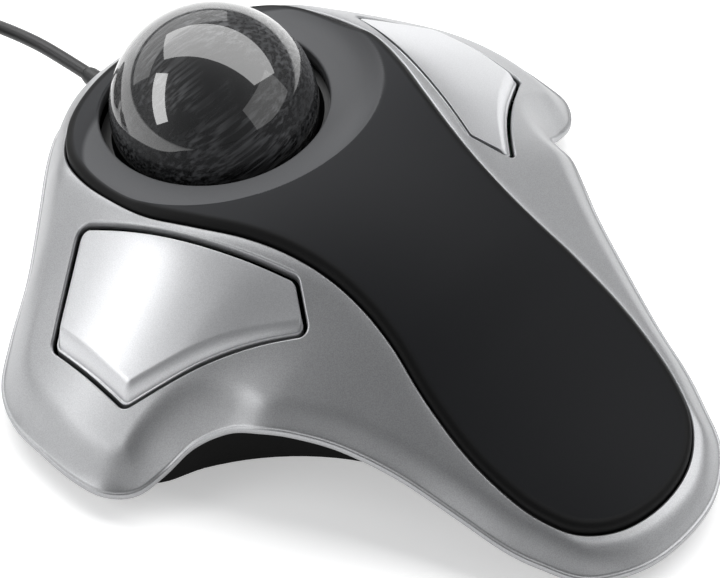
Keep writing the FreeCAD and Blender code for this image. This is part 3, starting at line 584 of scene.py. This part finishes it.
def make_sleeve():
    """Short tapered sleeve: a profile of (radius, y) turned round the cord's first run and back along
    its bore."""
    radius, y = np.array(SLEEVE + [SLEEVE[0]]).T[:, :, None]
    turn = np.linspace(0, 2 * math.pi, 49)[:-1][None]
    exit_x, _, exit_z = CORD_ROUTE[0]
    points = np.stack([exit_x + radius * np.cos(turn), y + 0 * turn, exit_z + radius * np.sin(turn)], -1)
    sleeve = make_piece("tapered_sleeve", [(points, True)], "housing", "cord_jacket")
    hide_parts("cord_sleeve")
    return sleeve


sleeve = make_sleeve()


def make_cord():
    """Round tube along one spline: down from the exit, round the coil and on to the plug."""
    route = np.concatenate([CORD_ROUTE, coil_points(), TAIL_ROUTE]) * MM
    curve = bpy.data.curves.new("cord", "CURVE")
    curve.dimensions = "3D"
    spline = curve.splines.new("NURBS")
    spline.points.add(len(route) - 1)
    spline.points.foreach_set("co", np.concatenate([route, np.ones((len(route), 1))], 1).ravel())
    spline.points.foreach_set("radius", np.full(len(route), CORD_RADIUS * MM))
    spline.order_u = 3
    spline.use_endpoint_u = True
    spline.resolution_u = 6
    curve.bevel_depth = 1       # times each point's own radius
    curve.bevel_resolution = 4
    curve.use_fill_caps = True
    cord = bpy.data.objects.new("cord", curve)
    bpy.context.scene.collection.objects.link(cord)
    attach(cord, "housing")
    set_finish(cord, "cord_jacket")
    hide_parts("cord_run", "cord_coil", "cord_tail")
    return cord


cord = make_cord()


# ---------------------------------------------------------------- materials
class Term:
    """A socket's value in an expression; each operator adds the Math node that it needs."""

    def __init__(self, tree, socket):
        self.tree, self.socket = tree, socket

    def math(self, operation, *others):
        return self.tree.node("ShaderNodeMath", {"operation": operation}, self, *others)

    def __add__(self, other):
        return self.math("ADD", other)

    def __sub__(self, other):
        return self.math("SUBTRACT", other)

    def __rsub__(self, other):
        return (self * -1) + other

    def __mul__(self, other):
        return self.math("MULTIPLY", other)

    __radd__, __rmul__ = __add__, __mul__

    def ramp(self, low, high):
        """0 below low, 1 above high, and a smooth step between."""
        return self.tree.node("ShaderNodeMapRange", {"interpolation_type": "SMOOTHSTEP", "clamp": True},
                              self, low, high, 0.0, 1.0)


class Finish:
    """A material's node tree with one Principled shader."""

    def __init__(self, name, **uniform):
        self.material = bpy.data.materials.new(name)
        self.material.use_nodes = True
        self.nodes = self.material.node_tree.nodes
        self.links = self.material.node_tree.links
        self.shader = self.nodes["Principled BSDF"]
        for key, value in uniform.items():
            self.shader.inputs[key.replace("_", " ")].default_value = value
        self.place = self.node("ShaderNodeTexCoord", {}, output="Object")

    def node(self, kind, settings, *values, output=0, **named):
        """Adds a node: its settings first, then its sockets by order or by name."""
        made = self.nodes.new(kind)
        for key, value in settings.items():
            setattr(made, key, value)
        pairs = [(made.inputs[i], v) for i, v in enumerate(values)]
        pairs += [(made.inputs[k.replace("_", " ")], v) for k, v in named.items()]
        for socket, value in pairs:
            if isinstance(value, Term):
                self.links.new(value.socket, socket)
            else:
                socket.default_value = value
        return Term(self, made.outputs[output])

    def stretched(self, scale, turn=(0, 0, 0)):
        """Place in a frame turned by these angles and stretched by these factors."""
        return self.node("ShaderNodeMapping", {"vector_type": "TEXTURE"}, self.place, Scale=scale,
                         Rotation=turn)

    def noise(self, scale, detail=3.0, rough=0.5, place=None):
        return self.node("ShaderNodeTexNoise", {}, Vector=place or self.place, Scale=scale, Detail=detail,
                         Roughness=rough)

    def attribute(self, name):
        return self.node("ShaderNodeAttribute", {"attribute_name": name}, output="Fac")

    def coordinate(self, axis):
        return self.node("ShaderNodeSeparateXYZ", {}, self.place, output=axis)

    def mix(self, factor, a, b):
        made = self.nodes.new("ShaderNodeMix")
        made.data_type = "RGBA"
        for index, value in ((0, factor), (6, a), (7, b)):
            if isinstance(value, Term):
                self.links.new(value.socket, made.inputs[index])
            else:
                made.inputs[index].default_value = value
        return Term(self, made.outputs[2])

    def feed(self, socket, term):
        self.links.new(term.socket, self.shader.inputs[socket])

    def bump(self, height, distance, strength=1.0):
        self.feed("Normal", self.node("ShaderNodeBump", {}, Height=height, Distance=distance,
                                      Strength=strength))


def grey(value, tint=1.0):
    """A grey a little towards blue: each channel from one value."""
    return (value, value * (1 + 0.008 * tint), value * (1 + 0.03 * tint), 1)


def silver_lacquer(name, light, dark, roughness):
    """Satin silver: fine flakes and a soft mottle in colour, roughness and bump."""
    f = Finish(name, Metallic=0.85, Specular_IOR_Level=0.4)
    flakes = f.noise(5200, 2, 0.6)
    mottle = f.noise(160, 3)
    f.feed("Base Color", f.mix(flakes.ramp(0.25, 0.75) * 0.8 + mottle * 0.2, grey(dark), grey(light)))
    f.feed("Roughness", flakes * 0.12 + (roughness - 0.06))
    f.bump(flakes, 0.00002, 0.35)
    return f.material


def soft_touch(name):
    """Dark soft-touch coat: near black over the palm, with a painted sheen lighter towards the ball, painted
    light on the dish and painted shade on the rolled edge.
    """
    f = Finish(name, Specular_IOR_Level=0.12)
    grain = f.noise(4200, 2, 0.6)
    # Painted sheen: the palm's near black turns a little lighter towards the ball.
    painted_sheen_near_ball = f.coordinate(1).ramp(-0.04, 0.06)
    palm = f.mix(painted_sheen_near_ball, grey(0.004, 14), grey(0.024, 5))
    # Painted light: the dish is painted a lighter grey for the light that falls on its slope.
    face = f.mix(f.attribute("dish"), palm, grey(0.105, 2))
    # Painted shade: the rolled edge is painted near black for the shade on its side wall.
    colour = f.mix(f.attribute("rim"), face, grey(0.002))
    f.feed("Base Color", f.mix(grain * 0.15, colour, grey(0.03)))
    f.feed("Roughness", grain * 0.1 + 0.5)
    f.bump(grain, 0.00002, 0.3)
    return f.material


def polished_ball():
    """Clear coat over dark resin with fine pearly streaks in bands."""
    f = Finish("polished_ball", Coat_Weight=1.0, Coat_Roughness=0.02, Coat_IOR=1.8,
               Specular_IOR_Level=0.2)
    grain = f.stretched((26, 1, 1), (0, math.radians(-22), math.radians(-16)))
    streaks = f.noise(1300, 2, 0.6, grain)
    clouds = f.noise(75, 2, 0.5)
    pearl = streaks.ramp(0.4, 0.72) * clouds.ramp(0.3, 0.6)
    f.feed("Base Color", f.mix(pearl, grey(0.007, 3), grey(0.1, 2)))
    f.feed("Roughness", 0.45 - pearl * 0.15)
    return f.material


def moulded(name, colour, roughness, grain_scale=2600, bump=0.00003, **uniform):
    """Plain moulded plastic or rubber with a fine spark-eroded grain."""
    f = Finish(name, **uniform)
    grain = f.noise(grain_scale, 3, 0.6)
    darker = tuple(c * 0.8 for c in colour[:3]) + (1,)
    f.feed("Base Color", f.mix(grain, darker, colour))
    f.feed("Roughness", grain * 0.14 + (roughness - 0.07))
    f.bump(grain, bump, 0.4)
    return f.material


def metal(name, colour, roughness, stretch=(1, 1, 0.03)):
    """Turned or drawn metal with fine lines along one direction."""
    f = Finish(name, Metallic=1.0)
    lines = f.noise(900, 3, 0.6, f.stretched(stretch))
    f.feed("Base Color", f.mix(lines, tuple(c * 0.82 for c in colour[:3]) + (1,), colour))
    f.feed("Roughness", lines * 0.2 + (roughness - 0.1))
    return f.material


def circuit_board():
    """Green solder mask with lighter copper lanes under it."""
    f = Finish("circuit_board", Specular_IOR_Level=0.5)
    lanes = f.noise(260, 1, 0.3, f.stretched((1, 0.16, 1))).ramp(0.5, 0.54)
    f.feed("Base Color", f.mix(lanes, (0.006, 0.05, 0.02, 1), (0.015, 0.11, 0.05, 1)))
    f.feed("Roughness", 0.42 - lanes * 0.1)
    f.bump(lanes, 0.00003, 0.5)
    return f.material


finishes = {
    "silver_skin": silver_lacquer("silver_skin", 0.45, 0.31, 0.44),
    # Painted light: the buttons take the skin's silver lacquer made lighter, standing in for the light they
    # catch.
    "button_skin": silver_lacquer("button_skin", 0.64, 0.50, 0.40),
    "soft_panel": soft_touch("soft_panel"),
    "ball_resin": polished_ball(),
    "black_plastic": moulded("black_plastic", grey(0.0015), 0.55, Specular_IOR_Level=0.08),
    "inner_plastic": moulded("inner_plastic", grey(0.015), 0.45),
    "ceramic": moulded("ceramic", (0.8, 0.8, 0.77, 1), 0.15, 900, 0.000002),
    "steel": metal("steel", (0.55, 0.55, 0.56, 1), 0.3),
    "foot_rubber": moulded("foot_rubber", grey(0.02), 0.75, 1500, 0.00006),
    "board": circuit_board(),
    "chip": moulded("chip", grey(0.02), 0.5, 3000),
    "can": metal("can", (0.72, 0.72, 0.74, 1), 0.25, (0.05, 0.05, 1)),
    "lens": moulded("lens", (0.9, 0.92, 0.95, 1), 0.12, 900, 0.000001, Transmission_Weight=0.9),
    "lamp": moulded("lamp", (0.6, 0.03, 0.02, 1), 0.2, 900, 0.000001),
    "white_plastic": moulded("white_plastic", (0.7, 0.69, 0.64, 1), 0.45),
    "cord_jacket": moulded("cord_jacket", grey(0.014), 0.42, 1800),
    "plug_metal": metal("plug_metal", (0.7, 0.7, 0.72, 1), 0.22, (1, 0.08, 1)),
}
slots = {part["node"]: part["material_slot"] for part in frame["record"]["subparts"]}


def dress(piece, material):
    piece.data.materials.clear()
    piece.data.materials.append(material)


for piece in (skin, panel, right_button, left_button, ball, sleeve, cord):
    dress(piece, finishes[piece["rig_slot"]])
for node, cad in frame["nodes"].items():
    if len(cad.material_slots):
        for material_slot in cad.material_slots:
            material_slot.material = finishes[slots[node]]
    else:
        cad.data.materials.append(finishes[slots[node]])


# ---------------------------------------------------------------- floor and light
FLOOR_REACH = 3000.0


def make_floor():
    """Plain square sheet at z = 0."""
    y, x = np.meshgrid([-FLOOR_REACH, FLOOR_REACH], [-FLOOR_REACH, FLOOR_REACH], indexing="ij")
    floor = shaped("floor", [(np.stack([x, y, 0 * x], -1), False)])
    f = Finish("pale_floor", Base_Color=(0.86, 0.86, 0.86, 1), Roughness=0.9,
               Emission_Color=(1, 1, 1, 1), Emission_Strength=0.4)
    dress(floor, f.material)
    return floor


LAMP_TARGET = (0, 0.01, 0.02)


def lamp(name, offset, size, brightness, upright=(0, 0, 1)):
    """A rectangular soft light that points at the object from an offset; its power is its
    brightness times its area and pi."""
    light = bpy.data.lights.new(name, "AREA")
    light.shape = "RECTANGLE"
    light.size, light.size_y = size
    light.energy = brightness * size[0] * size[1] * math.pi
    holder = bpy.data.objects.new(name, light)
    bpy.context.scene.collection.objects.link(holder)
    aim(holder, offset, LAMP_TARGET, upright)


make_floor()
lamp("overhead_softbox", (0.46, 0.26, 0.85), (0.85, 2.4), 3.3, (0.48, -0.85, 0.21))
lamp("left_strip", (-0.93, 0.60, 0.58), (0.34, 1.05), 5.6, (0.43, 0.66, 0.62))
lamp("front_window", (0.50, -0.95, 0.50), (1.2, 0.7), 0.75)
lamp("back_wall", (0.3, 1.4, 0.45), (2.4, 0.7), 1.0)
world = bpy.data.worlds.new("room")
bpy.context.scene.world = world
world.use_nodes = True
world.node_tree.nodes["Background"].inputs["Color"].default_value = (0.95, 0.97, 1.0, 1)
world.node_tree.nodes["Background"].inputs["Strength"].default_value = 0.15
bpy.context.scene.view_settings.view_transform = "Standard"
